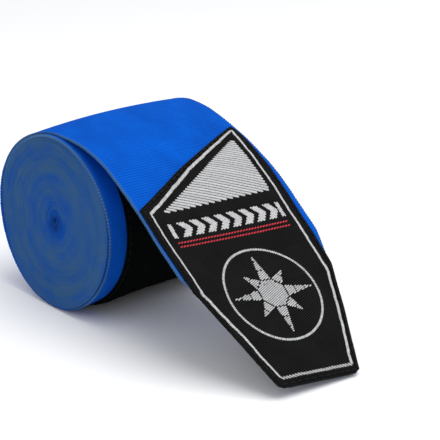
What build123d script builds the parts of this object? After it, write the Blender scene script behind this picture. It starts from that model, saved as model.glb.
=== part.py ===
from build123d import *
import os
from collections import namedtuple
from math import cos, floor, pi, radians, sin

# Hand wrap: one long woven strip wound on itself, lying on its side, with the closing
# tab pulled off the top of the roll and reaching down to the surface that the roll rests on.
# +X runs from the roll towards the tab, +Y along the roll's axis, +Z up.
# The origin lies on the resting surface, under the middle of the roll.

os.makedirs("parts", exist_ok=True)

# ---- Driving dimensions, in millimetres and degrees ----

BAND_WIDTH = 50.8  # two-inch strip
BAND_LENGTH = 3048.0  # ten-foot wrap
ROLL_RADIUS = 25.7  # outer face of the outermost turn, where the tail leaves the top
CORE_RADIUS = 4.2  # about the inner face of the innermost turn of the strip
TURN_GAP = 0.08  # clearance between two turns
FACE_GAP = 0.03  # clearance between pieces that are sewn face to face

LOOP_WIDTH = 38.1  # pile panel on the outermost turn, of inch-and-a-half tape
LOOP_BACKING = 0.6
LOOP_PILE_HEIGHT = 1.35
LOOP_MARGIN = 2.4  # bare border that carries the stitches
LOOP_START_ANGLE = 46.0  # from the roll's axis, 0 towards +X, anticlockwise
LOOP_END_ANGLE = -131.0
REST_FLAT_DEPTH = 0.45  # how far the soft roll settles onto the pile panel

# Tail stretches from the top of the roll: length along the strip, and downward turn.
TAIL_STRETCHES = [
    ("lead_off", 13.5, 17.2),
    ("upper", 24.5, 11.92),
    ("middle", 24.5, 7.0),
    ("lower", 24.5, 6.0),
    ("tip", 17.0, 1.0),
]
BEND_GAP = 0.4  # half the gap between two stretches of strip
LIFT_BEND_GAP = 0.65  # the same at the first bend, which opens the furthest
LABEL_BEND_GAP = 0.5
HOOK_BEND_GAP = 0.85

TAPER_START = 72.0  # distance along the tail where its edges start to run in
TAIL_END = 104.0
TIP_HALF_WIDTH = 14.4

LABEL_MARGIN = 0.9  # from the strip's edge to the label's edge
LABEL_THICKNESS = 0.68
LABEL_NEAR_START = 43.5  # the label's upper edge is slanted across the strip
LABEL_FAR_START = 20.4

HOOK_MARGIN = 1.8
HOOK_START = 54.0
HOOK_BACKING = 0.5
HOOK_HEIGHT = 0.98
HOOK_BARE_BORDER = 2.2

STITCH_INSET = 0.7
STITCH_WIDTH = 0.4
STITCH_HEIGHT = 0.2

LOOP_TAPE_WIDTH = 16.0  # thumb loop: a doubled tape, rolled up in the core
LOOP_TAPE_THICKNESS = 0.66  # both layers together
LOOP_TAPE_SLIT = 0.06
LOOP_TAPE_INNER = 1.15  # outer face of the tape after its last half turn
LOOP_TAPE_PITCH = 0.7
LOOP_TAPE_HALF_TURNS = 7

BARTACK_LENGTH = 1.4
BARTACK_THICKNESS = 0.25
BARTACK_COUNT = 3
BARTACK_PITCH = 5.5

# ---- Dimensions that follow from them ----

TAIL_LENGTH = sum(length for name, length, turn in TAIL_STRETCHES)
WOUND_LENGTH = BAND_LENGTH - TAIL_LENGTH
TURN_PITCH = pi * (ROLL_RADIUS**2 - CORE_RADIUS**2) / WOUND_LENGTH
BAND_THICKNESS = TURN_PITCH - TURN_GAP
HALF_TURNS = 2 * floor((ROLL_RADIUS - CORE_RADIUS) / TURN_PITCH)
HALF_BAND = BAND_THICKNESS / 2

AXIS_HEIGHT = ROLL_RADIUS + FACE_GAP + LOOP_PILE_HEIGHT - REST_FLAT_DEPTH

Stretch = namedtuple("Stretch", "name start length x z heading turn")


def tail_path():
    """The tail's middle surface as arcs that join without a kink, from the top of the roll."""
    x = 0.0
    z = AXIS_HEIGHT + ROLL_RADIUS - HALF_BAND
    heading = 0.0
    start = 0.0
    path = []
    for name, length, turn in TAIL_STRETCHES:
        path.append(Stretch(name, start, length, x, z, heading, turn))
        radius = length / radians(turn)
        end_heading = heading - turn
        x += radius * (sin(radians(-end_heading)) - sin(radians(-heading)))
        z += radius * (cos(radians(end_heading)) - cos(radians(heading)))
        heading = end_heading
        start += length
    return path


TAIL = tail_path()


def ring_sector(centre, inner, outer, start_angle, sweep):
    """Face between two arcs about one centre, in the plane across the roll's axis."""
    outer_arc = CenterArc(centre, outer, start_angle, sweep)
    inner_arc = CenterArc(centre, inner, start_angle, sweep)
    start_side = Line(outer_arc @ 0, inner_arc @ 0)
    end_side = Line(outer_arc @ 1, inner_arc @ 1)
    return make_face([outer_arc, end_side, inner_arc, start_side])


def across(face, width):
    """Extrude a face of the plane across the roll's axis to a width centred on Y = 0."""
    return extrude(Plane.XZ * face, amount=width / 2, both=True)


def spiral_arcs(radius, pitch, half_turns, axis_height):
    """Half circles from the top, anticlockwise and inwards, each half a pitch smaller."""
    arcs = []
    for index in range(half_turns):
        on_left = index % 2 == 0
        centre_z = axis_height if on_left else axis_height - pitch / 2
        start_angle = 90 if on_left else 270
        arcs.append(CenterArc((0, centre_z), radius - index * pitch / 2, start_angle, 180))
    return arcs


def wound_strip(radius, thickness, pitch, half_turns, axis_height, lead=None):
    """Face of a strip wound inwards; a lead is the pair of arcs that carry it on past the top."""
    outer = spiral_arcs(radius, pitch, half_turns, axis_height)
    inner = spiral_arcs(radius - thickness, pitch, half_turns, axis_height)
    edges = list(outer) + list(inner)
    edges.append(Line(outer[-1] @ 1, inner[-1] @ 1))
    if lead is None:
        edges.append(Line(outer[0] @ 0, inner[0] @ 0))
    else:
        edges += lead
        edges.append(Line(lead[0] @ 1, lead[1] @ 1))
    return make_face(edges)


def stretch_sector(stretch, gap_before, gap_after, low, high):
    """Face of one layer of a tail stretch, from low to high above its middle surface."""
    radius = stretch.length / radians(stretch.turn)
    normal = radians(90 + stretch.heading)
    centre = (stretch.x - radius * cos(normal), stretch.z - radius * sin(normal))
    degrees_per_mm = stretch.turn / stretch.length
    start_angle = 90 + stretch.heading - gap_before * degrees_per_mm
    sweep = -(stretch.length - gap_before - gap_after) * degrees_per_mm
    return ring_sector(centre, radius + low, radius + high, start_angle, sweep)


def outline_prism(stretch, outline):
    """Prism that stands on a flat outline, given as (along the tail, across it) points."""
    radius = stretch.length / radians(stretch.turn)
    middle = stretch.heading - stretch.turn / 2
    normal_start = radians(90 + stretch.heading)
    normal_middle = radians(90 + middle)
    origin_x = stretch.x + radius * (cos(normal_middle) - cos(normal_start))
    origin_z = stretch.z + radius * (sin(normal_middle) - sin(normal_start))
    plane = Plane(
        origin=(origin_x, 0, origin_z),
        x_dir=(cos(radians(middle)), 0, sin(radians(middle))),
        z_dir=(cos(normal_middle), 0, sin(normal_middle)),
    )
    shift = -(stretch.start + stretch.length / 2)
    flat = Pos(shift, 0) * outline
    return extrude(plane * flat, amount=BAND_WIDTH / 10, both=True)


def tail_layer(stretch, gap, low, high, outline):
    """One layer of a tail stretch, trimmed to a flat outline."""
    gap_before = max(gap, LIFT_BEND_GAP) if stretch is TAIL[1] else gap
    gap_after = 0 if stretch is TAIL[-1] else gap
    sector = stretch_sector(stretch, gap_before, gap_after, low, high)
    return across(sector, BAND_WIDTH) & outline_prism(stretch, outline)


def tapered_outline(start_near, start_far, end, margin):
    """Flat outline of the strip's end part, set in from the strip's edge by a margin."""
    wide = BAND_WIDTH / 2 - margin
    narrow = TIP_HALF_WIDTH - margin
    points = [
        (start_near, -wide),
        (TAPER_START, -wide),
        (end, -narrow),
        (end, narrow),
        (TAPER_START, wide),
        (start_far, wide),
    ]
    return make_face(Polyline(*points, close=True))


def stitch_ring(outline, inset):
    """Flat closed line of stitches at an inset from an outline's edge."""
    outside = offset(outline, amount=-inset, kind=Kind.INTERSECTION)
    inside = offset(outline, amount=-(inset + STITCH_WIDTH), kind=Kind.INTERSECTION)
    return outside - inside


def ring_band(low, high, width, start_angle, end_angle):
    """Band that lies on the outermost turn, between two heights above its surface."""
    left_radius = ROLL_RADIUS
    right_radius = ROLL_RADIUS - TURN_PITCH / 2
    right_axis = AXIS_HEIGHT - TURN_PITCH / 2
    right = ring_sector(
        (0, right_axis), right_radius + low, right_radius + high, -90, start_angle + 90
    )
    left = ring_sector(
        (0, AXIS_HEIGHT), left_radius + low, left_radius + high, end_angle, -90 - end_angle
    )
    return across(right, width) + across(left, width)


# ---- The strip ----


def band_roll():
    """The wound strip, with the short stretch that leaves the top of the roll."""
    lead = TAIL[0]
    lead_radius = lead.length / radians(lead.turn)
    centre = (0, lead.z - lead_radius)
    sweep = -(lead.length - LIFT_BEND_GAP) * lead.turn / lead.length
    outer_lead = CenterArc(centre, lead_radius + HALF_BAND, 90, sweep)
    inner_lead = CenterArc(centre, lead_radius - HALF_BAND, 90, sweep)
    face = wound_strip(
        ROLL_RADIUS,
        BAND_THICKNESS,
        TURN_PITCH,
        HALF_TURNS,
        AXIS_HEIGHT,
        [outer_lead, inner_lead],
    )
    return across(face, BAND_WIDTH)


def band_stretch(stretch):
    outline = tapered_outline(0, 0, TAIL_END, 0)
    return tail_layer(stretch, BEND_GAP, -HALF_BAND, HALF_BAND, outline)


# ---- Thumb loop, rolled up in the core ----

LOOP_TAPE_RADIUS = LOOP_TAPE_INNER + LOOP_TAPE_HALF_TURNS * LOOP_TAPE_PITCH / 2


def thumb_loop():
    """Doubled tape: two layers folded at the free inner end, pressed flat and rolled."""
    tape = wound_strip(
        LOOP_TAPE_RADIUS,
        LOOP_TAPE_THICKNESS,
        LOOP_TAPE_PITCH,
        LOOP_TAPE_HALF_TURNS,
        AXIS_HEIGHT,
    )
    slit_side = (LOOP_TAPE_THICKNESS - LOOP_TAPE_SLIT) / 2
    slit = wound_strip(
        LOOP_TAPE_RADIUS - slit_side,
        LOOP_TAPE_SLIT,
        LOOP_TAPE_PITCH,
        LOOP_TAPE_HALF_TURNS - 1,
        AXIS_HEIGHT,
    )
    return across(tape, LOOP_TAPE_WIDTH) - across(slit, LOOP_TAPE_WIDTH)


def thumb_loop_bartack():
    """Dense bars of stitches that hold the doubled tape to the strip's inner end."""
    low = LOOP_TAPE_RADIUS + FACE_GAP
    sweep = 360 * BARTACK_LENGTH / (2 * pi * low)
    sector = ring_sector((0, AXIS_HEIGHT), low, low + BARTACK_THICKNESS, 100, sweep)
    bar = across(sector, BARTACK_LENGTH)
    first = -BARTACK_PITCH * (BARTACK_COUNT - 1) / 2
    bars = [Pos(0, first + index * BARTACK_PITCH, 0) * bar for index in range(BARTACK_COUNT)]
    return Compound(children=bars)


# ---- Pile panel on the outermost turn ----


def above_rest():
    """Half space above the surface that the roll rests on, as a large box."""
    size = 8 * ROLL_RADIUS
    return Pos(0, 0, size / 2) * Box(size, size, size)


def loop_panel():
    backing = ring_band(
        FACE_GAP, FACE_GAP + LOOP_BACKING, LOOP_WIDTH, LOOP_START_ANGLE, LOOP_END_ANGLE
    )
    margin_angle = LOOP_MARGIN / radians(1) / ROLL_RADIUS
    pile = ring_band(
        FACE_GAP,
        FACE_GAP + LOOP_PILE_HEIGHT,
        LOOP_WIDTH - 2 * LOOP_MARGIN,
        LOOP_START_ANGLE - margin_angle,
        LOOP_END_ANGLE + margin_angle,
    )
    return (backing + pile) & above_rest()


def loop_panel_stitching():
    """Two lines of stitches along the panel's long borders."""
    low = FACE_GAP + LOOP_BACKING + FACE_GAP
    line = ring_band(low, low + STITCH_HEIGHT, STITCH_WIDTH, LOOP_START_ANGLE - 1, LOOP_END_ANGLE + 1)
    offset_y = LOOP_WIDTH / 2 - LOOP_MARGIN / 2
    return Compound(children=[Pos(0, side * offset_y, 0) * line for side in (-1, 1)])


# ---- Label and hook panel on the tail ----

LABEL_LOW = HALF_BAND + FACE_GAP
LABEL_HIGH = LABEL_LOW + LABEL_THICKNESS
LABEL_OUTLINE = tapered_outline(
    LABEL_NEAR_START, LABEL_FAR_START, TAIL_END - LABEL_MARGIN, LABEL_MARGIN
)
HOOK_TOP = -(HALF_BAND + FACE_GAP)
HOOK_OUTLINE = tapered_outline(HOOK_START, HOOK_START, TAIL_END - HOOK_MARGIN, HOOK_MARGIN)


def label_stretch(stretch):
    return tail_layer(stretch, LABEL_BEND_GAP, LABEL_LOW, LABEL_HIGH, LABEL_OUTLINE)


def label_stitching(stretch):
    low = LABEL_HIGH + FACE_GAP
    ring = stitch_ring(LABEL_OUTLINE, STITCH_INSET)
    return tail_layer(stretch, LABEL_BEND_GAP, low, low + STITCH_HEIGHT, ring)


def hook_stretch(stretch):
    """Backing tape with a field of hooks that stops short of the sewn border."""
    backing = tail_layer(stretch, HOOK_BEND_GAP, HOOK_TOP - HOOK_BACKING, HOOK_TOP, HOOK_OUTLINE)
    field = offset(HOOK_OUTLINE, amount=-HOOK_BARE_BORDER, kind=Kind.INTERSECTION)
    hooks = tail_layer(stretch, HOOK_BEND_GAP, HOOK_TOP - HOOK_HEIGHT, HOOK_TOP, field)
    return backing + hooks


def hook_stitching(stretch):
    high = HOOK_TOP - HOOK_BACKING - FACE_GAP
    ring = stitch_ring(HOOK_OUTLINE, STITCH_INSET)
    return tail_layer(stretch, HOOK_BEND_GAP, high - STITCH_HEIGHT, high, ring)


# ---- Every piece, and the places of the bends ----


def all_pieces():
    pieces = {
        "band_roll": band_roll(),
        "thumb_loop": thumb_loop(),
        "thumb_loop_bartack": thumb_loop_bartack(),
        "loop_panel": loop_panel(),
        "loop_panel_stitching": loop_panel_stitching(),
    }
    for stretch in TAIL[1:]:
        pieces["band_" + stretch.name] = band_stretch(stretch)
        pieces["label_" + stretch.name] = label_stretch(stretch)
        pieces["label_stitching_" + stretch.name] = label_stitching(stretch)
        if stretch is not TAIL[1]:
            pieces["hook_panel_" + stretch.name] = hook_stretch(stretch)
            pieces["hook_stitching_" + stretch.name] = hook_stitching(stretch)
    return pieces


for node, shape in all_pieces().items():
    export_step(shape, f"parts/{node}.step")

print(f"pitch {TURN_PITCH:.4f}, band {BAND_THICKNESS:.4f}, half turns {HALF_TURNS}, axis {AXIS_HEIGHT:.4f}")
for stretch in TAIL[1:]:
    print(f"bend before {stretch.name}: x {stretch.x:.3f}, z {stretch.z:.3f}, heading {stretch.heading:.1f}")
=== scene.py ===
import bpy
import math
import numpy as np
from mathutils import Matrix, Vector


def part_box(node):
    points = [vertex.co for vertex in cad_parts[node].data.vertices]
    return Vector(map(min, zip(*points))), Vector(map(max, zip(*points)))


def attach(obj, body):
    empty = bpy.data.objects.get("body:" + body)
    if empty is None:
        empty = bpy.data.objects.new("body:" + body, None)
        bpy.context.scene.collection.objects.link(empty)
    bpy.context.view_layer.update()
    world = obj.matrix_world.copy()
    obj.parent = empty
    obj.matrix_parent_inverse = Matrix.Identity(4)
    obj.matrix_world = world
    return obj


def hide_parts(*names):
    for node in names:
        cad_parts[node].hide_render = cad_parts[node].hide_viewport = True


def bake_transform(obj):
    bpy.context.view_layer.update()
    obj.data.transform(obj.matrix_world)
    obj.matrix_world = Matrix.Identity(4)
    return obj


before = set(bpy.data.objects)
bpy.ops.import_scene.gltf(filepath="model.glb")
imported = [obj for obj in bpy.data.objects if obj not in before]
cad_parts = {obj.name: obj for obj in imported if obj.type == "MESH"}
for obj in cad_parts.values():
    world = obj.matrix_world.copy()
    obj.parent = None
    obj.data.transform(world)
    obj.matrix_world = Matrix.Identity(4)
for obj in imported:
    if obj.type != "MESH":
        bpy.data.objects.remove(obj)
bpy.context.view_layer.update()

MM = 0.001

# -------- driving sizes, in millimetres

BAND_WIDTH = 50.8
BAND_THICKNESS = 0.606
TURN_PITCH = 0.6856
TURNS = 31
RIB_PITCH = 0.9
RIB_HEIGHT = 0.1
RIB_ROWS = 6  # rows of vertices in each rib

# The tail's middle surface, as in the CAD model: length along the strip and downward turn in degrees.
TAIL_STRETCHES = [(13.5, 17.2), (24.5, 11.92), (24.5, 7.0), (24.5, 6.0), (17.0, 1.0)]
TAIL_END = 104.0
TAPER_START = 72.0
CUT_BACK = 0.6  # the strip's mesh stops this far short of TAIL_END, under the label
CUT_INSET = 1.1  # the tapered near edge lies this far inside the label's
FAR_SHOW = 2.6  # the far edge shows this far past the label, up to the taper
TIP_HALF_WIDTH = 14.4
TAIL_SKEW = 4.1  # degrees by which the tail's heading is turned towards -Y
TIP_LIFT = 0.8  # raises the tip, so that its lowest corner rests on the floor

# The tail's pieces meet half-way between two bends, and each one spans one of them.
PIECE_ENDS = [2.7, 26.1, 50.4, 74.7, TAIL_END]
BENDS = [13.5, 38.0, 62.5, 87.0]
BEND_REACH = 8.0
BODIES = ["roll", "tail_upper", "tail_middle", "tail_lower", "tail_tip"]

SEWN_GAP = 0.03  # between two layers that are sewn together
LABEL_THICKNESS = 0.68
STITCH_INSET = 0.9
STITCH_PITCH = 2.3
STITCH_WIDTH = 0.42
STITCH_SHARE = 0.8  # the share of its pitch that a stitch covers
# Corners of the panels on the tail: distance along it and across it.
LABEL_OUTLINE = [
    (44.0, -25.0), (33.2, -4.8), (20.0, 23.7), (45.0, 23.4),
    (72.5, 22.6), (104.5, 13.1), (104.5, -12.8), (73.2, -24.6),
]
BORDER_OUTLINE = [
    (46.4, -22.8), (34.8, -3.2), (22.9, 21.2), (37.0, 20.2),
    (74.6, 19.7), (101.9, 11.4), (101.9, -11.5), (74.5, -22.5),
]
HOOK_OUTLINE = [(54.0, -23.6), (54.0, 23.6), (70.5, 22.6), (102.2, 12.4), (102.2, -11.6), (72.0, -23.2)]
HOOK_BACKING = 0.5
HOOK_HEIGHT = 0.48

LOOP_WIDTH = 38.1
LOOP_ANGLES = (139.0, 316.0)  # winding angle from the top of the roll, in degrees
LOOP_BACKING = 0.6
LOOP_PILE = 0.75
LOOP_MARGIN = 2.4

roll_low, roll_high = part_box("band_roll")
ROLL_RADIUS = -roll_low.x / MM
AXIS_HEIGHT = roll_high.z / MM - ROLL_RADIUS
HALF_BAND = BAND_THICKNESS / 2
HALF_WIDTH = BAND_WIDTH / 2
SEWN_LEVEL = HALF_BAND + SEWN_GAP
LABEL_HIGH = SEWN_LEVEL + LABEL_THICKNESS
HOOK_LOW = -SEWN_LEVEL - HOOK_BACKING

random = np.random.default_rng(7)


def smooth(value, low, high):
    """0 below low, 1 above high, and a smooth step between."""
    t = np.clip((np.asarray(value, float) - low) / (high - low), 0, 1)
    return t * t * (3 - 2 * t)


def ripple(value, seed, scale=1.0):
    """Smooth seeded noise of one variable, about -1 to 1."""
    draw = np.random.default_rng(seed)
    total = np.zeros_like(np.asarray(value, float))
    for rate in (0.37, 0.83, 1.31, 2.17):
        total += np.sin(rate * np.asarray(value) * scale + draw.uniform(0, 2 * math.pi)) / (1 + rate)
    return total / 1.6


def ripple2(a, b, seed):
    """Smooth seeded noise of two variables, about -1 to 1."""
    draw = np.random.default_rng(seed)
    total = 0
    for size in (1.0, 1.7, 2.6, 3.9):
        angle, phase = draw.uniform(0, 2 * math.pi, 2)
        total = total + np.sin(size * (a * math.cos(angle) + b * math.sin(angle)) + phase) / size
    return total / 2.2


def unit(vector):
    """Direction and length of a flat vector."""
    length = float(np.hypot(*vector))
    return vector / length, length


def left_of(direction):
    return np.array([-direction[1], direction[0]])


# -------- where things lie


def tail_table():
    """Points and headings along the tail's middle surface, from the top of the roll."""
    step = 0.05
    curvature = []
    for length, turn in TAIL_STRETCHES:
        curvature += [-math.radians(turn) / length] * int(round(length / step))
    curvature += [0.0] * int(12 / step)
    kernel = np.hanning(81)
    curvature = np.convolve(np.pad(curvature, 40, mode="edge"), kernel / kernel.sum(), "valid")
    heading = np.concatenate([[0], np.cumsum(curvature) * step])
    x = np.concatenate([[0], np.cumsum(np.cos(heading[:-1])) * step])
    z = np.concatenate([[0], np.cumsum(np.sin(heading[:-1])) * step])
    return np.arange(len(x)) * step, x, z + AXIS_HEIGHT + ROLL_RADIUS - HALF_BAND, heading


TAIL = tail_table()


def eased(knots, values, width=16):
    """A table through the knots with its corners eased: places in millimetres along the strip."""
    u = np.arange(-190.0, 130.0, 0.5)
    kernel = np.hanning(2 * width + 1)
    padded = np.pad(np.interp(u, knots, values), width, mode="edge")
    return u, np.convolve(padded, kernel / kernel.sum(), "valid")


# How far the strip lies off centre, at places from 0 at the top of the roll: below 0 on the roll, above 0
# on the tail.
SLIP = eased(
    [-160, -100, -70, -25, 0, 26, 38, 50, 74, 104, 130],
    [-0.8, -2.2, -1.3, 1.4, 0.9, -0.7, -1.7, -3.2, -5.5, -10.4, -12.3],
)
# How the cloth of the tail drapes: rise of its near edge, middle and far edge, and lead of its far edge.
DRAPE_AT = [0, 20, 38, 60, 74, 104]
DRAPE_NEAR = eased(DRAPE_AT, [0, 1.1, 0.0, -0.1, 0.8, -0.1])
DRAPE_MIDDLE = eased(DRAPE_AT, [0, 0.8, 0.9, -1.1, -0.4, 1.5])
DRAPE_FAR = eased(DRAPE_AT, [0, -0.2, 0, 0, 0, 1.2])
SHEAR = eased(DRAPE_AT, [0, -0.4, -0.3, 0.9, 1.2, 2.2])


def winding_at(arc):
    """Winding angle in radians after an arc length of strip, from the top of the roll inwards."""
    start = ROLL_RADIUS - HALF_BAND
    inside = np.maximum(start * start - TURN_PITCH * np.maximum(arc, 0) / math.pi, 0.01)
    return (start - np.sqrt(inside)) * 2 * math.pi / TURN_PITCH


def arc_at(winding):
    """Arc length of strip up to a winding angle, the inverse of winding_at."""
    return (ROLL_RADIUS - HALF_BAND) * winding - TURN_PITCH * winding * winding / (4 * math.pi)


def sag(angle, y, share):
    """How far the soft roll's surface is out of round, at an angle from +X and a share of its radius."""
    rim = 0.35 + 0.5 * np.cos(2 * angle) + 0.2 * np.cos(angle)
    rim = rim - 0.75 * np.sin(angle) + 0.1 * np.sin(3 * angle)
    crown = 0.45 * np.clip(np.cos(angle - math.radians(122)), 0, 1) ** 2 - 0.1
    bulge = 1.2 * np.clip(np.cos(angle + 0.2), 0, 1) ** 1.5
    flat = 1.05 * np.clip(np.cos(angle - math.radians(116)), 0, 1) ** 6
    flat = flat + 0.5 * np.clip(np.cos(angle - math.radians(192)), 0, 1) ** 4
    weight = np.clip(np.abs(y) / HALF_WIDTH, 0, 1) ** 2
    near = np.where(y > 0, 0.7, 1.0)
    sides = rim * weight * near + crown * (1 - weight) + bulge * (0.5 + 0.5 * weight * near)
    return share * share * (sides - flat)


def face_slip(angle, share, winding):
    """The end faces are tilted: how far a turn lies towards +Y of the outermost one."""
    tilt = share * (1.3 * np.sin(angle) - 1.6 * np.cos(angle))
    return tilt * smooth(winding, 5.4, 7.0)


def strip_point(u, v, h):
    """Place of a point in metres: u along the strip, v across it and h above its middle surface."""
    u, v, h = np.broadcast_arrays(*(np.asarray(value, float) for value in (u, v, h)))
    angle = math.radians(TAIL_SKEW) * smooth(u, -40, -6)
    across = v / HALF_WIDTH
    along = u + v * np.sin(angle) + across * np.interp(u, *SHEAR)
    slip = np.interp(u, *SLIP)
    # on the tail
    heading = np.interp(along, TAIL[0], TAIL[3])
    soft = 0.3 * ripple2(u / 9, v / 9, 3) * smooth(u, 4, 16) * (1 - smooth(u, 30, 45))
    edge = 0.22 * ripple2(u / 6, v / 20, 5) * smooth(u, 6, 18)
    settle = sag(math.pi / 2, v, 1.0) * (1 - smooth(along, 2, 30))
    lift = TIP_LIFT * smooth(u, 55, TAIL_END)
    bow = np.clip(np.abs(across), 0, 1.1) ** 1.6
    drape = np.interp(u, *DRAPE_MIDDLE) * (1 - bow)
    drape = drape + bow * np.where(across < 0, np.interp(u, *DRAPE_NEAR), np.interp(u, *DRAPE_FAR))
    curl = 0.5 * np.clip((v - 21.5) / 3.9, 0, 1.1) ** 2 * smooth(u, 15, 30) * (1 - smooth(u, 66, 76))
    rise = h - curl + soft + edge * smooth(np.abs(v), 8, 25) + settle + drape
    tail_x = np.interp(along, TAIL[0], TAIL[1]) - rise * np.sin(heading)
    tail_z = np.interp(along, TAIL[0], TAIL[2]) + rise * np.cos(heading) + lift
    # on the roll
    winding = winding_at(-along)
    turned = winding + math.pi / 2
    radius = ROLL_RADIUS - HALF_BAND - TURN_PITCH * winding / (2 * math.pi) + h
    share = radius / ROLL_RADIUS
    wave = 0.2 * np.sin(2 * winding + 0.6) + 0.14 * np.sin(3 * winding - 0.8)
    wave = np.sin(winding / 2) ** 2 * wave
    pinch = 3.6 * (1 - smooth(radius, 4.0, 14.5)) * smooth(np.abs(v), 12, 23)
    radius = np.maximum(radius + (wave * share * share + sag(turned, v, share)) - pinch, 0.2)
    drift = (1 - np.clip(share, 0, 1)) * smooth(-v, 4, 22)
    roll_x = radius * np.cos(turned) + 1.9 * drift
    roll_z = AXIS_HEIGHT + radius * np.sin(turned) - 1.2 * drift
    on_tail = along >= 0
    y = v * np.cos(angle) + slip + np.where(on_tail, 0, face_slip(turned, share, winding))
    return np.stack([np.where(on_tail, tail_x, roll_x), y, np.where(on_tail, tail_z, roll_z)], -1) * MM


# -------- mesh helpers


def strip_faces(rows, columns):
    """Quads of a grid whose last column joins its first."""
    first = np.arange(rows - 1)[:, None] * columns
    across = np.arange(columns)[None, :]
    following = (across + 1) % columns
    corners = [first + across, first + following, first + columns + following, first + columns + across]
    return np.stack(corners, -1).reshape(-1, 4)


def ring(sides):
    """Cosines and sines of evenly spaced angles round a tube."""
    turn = np.linspace(0, 2 * math.pi, sides, endpoint=False)
    return np.cos(turn)[None, :], np.sin(turn)[None, :]


def pattern_grid(along, across):
    """Pattern coordinates of a grid, from one distance along for each row."""
    return np.stack([along[:, None].repeat(across.shape[1], 1), across], -1)


def add_object(name, data):
    added = bpy.data.objects.new(name, data)
    bpy.context.scene.collection.objects.link(added)
    return added


class Builder:
    """Collects vertices and faces, with pattern coordinates, a tone and a shade for every vertex."""

    def __init__(self):
        self.points, self.faces, self.coordinates, self.tones, self.shades = [], [], [], [], []
        self.count = 0

    def tube(self, grid, coordinates=None, tones=None, shades=None):
        """A grid of closed rings, shut by a face at each end."""
        rows, columns = grid.shape[:2]
        size = rows * columns
        self.points.append(grid.reshape(-1, 3))
        self.coordinates.append(np.zeros((size, 2)) if coordinates is None else coordinates.reshape(-1, 2))
        self.tones.append(np.zeros(size) if tones is None else tones.ravel())
        self.shades.append(np.full(size, 0.5) if shades is None else shades.ravel())
        self.faces += (strip_faces(rows, columns) + self.count).tolist()
        self.faces.append(list(range(self.count, self.count + columns))[::-1])
        self.faces.append(list(range(self.count + size - columns, self.count + size)))
        self.count += size

    def build(self, name, material):
        mesh = bpy.data.meshes.new(name)
        mesh.from_pydata(np.concatenate(self.points).tolist(), [], self.faces)
        mesh.update()
        uv = mesh.uv_layers.new(name="pattern")
        loops = np.zeros(len(mesh.loops), int)
        mesh.loops.foreach_get("vertex_index", loops)
        uv.data.foreach_set("uv", np.concatenate(self.coordinates)[loops].astype(np.float32).ravel())
        for label, values in (("tone", self.tones), ("shade", self.shades)):
            layer = mesh.attributes.new(label, "FLOAT", "POINT")
            layer.data.foreach_set("value", np.concatenate(values).astype(np.float32))
        mesh.polygons.foreach_set("use_smooth", [True] * len(mesh.polygons))
        mesh.materials.append(material)
        return add_object(name, mesh)


def lay_on_roll(piece, node):
    """Let a piece move with the roll and stand for one of its CAD nodes."""
    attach(piece, "roll")
    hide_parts(node)


def bend_piece(piece, index):
    """Bake a tail piece's transform; the points either side of bend number index are worked out but not
    used.
    """
    before = Vector(strip_point(BENDS[index] - BEND_REACH, 0, 0))
    after = Vector(strip_point(BENDS[index] + BEND_REACH, 0, 0))
    before.y = after.y = 0
    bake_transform(piece)


# -------- materials


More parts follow.
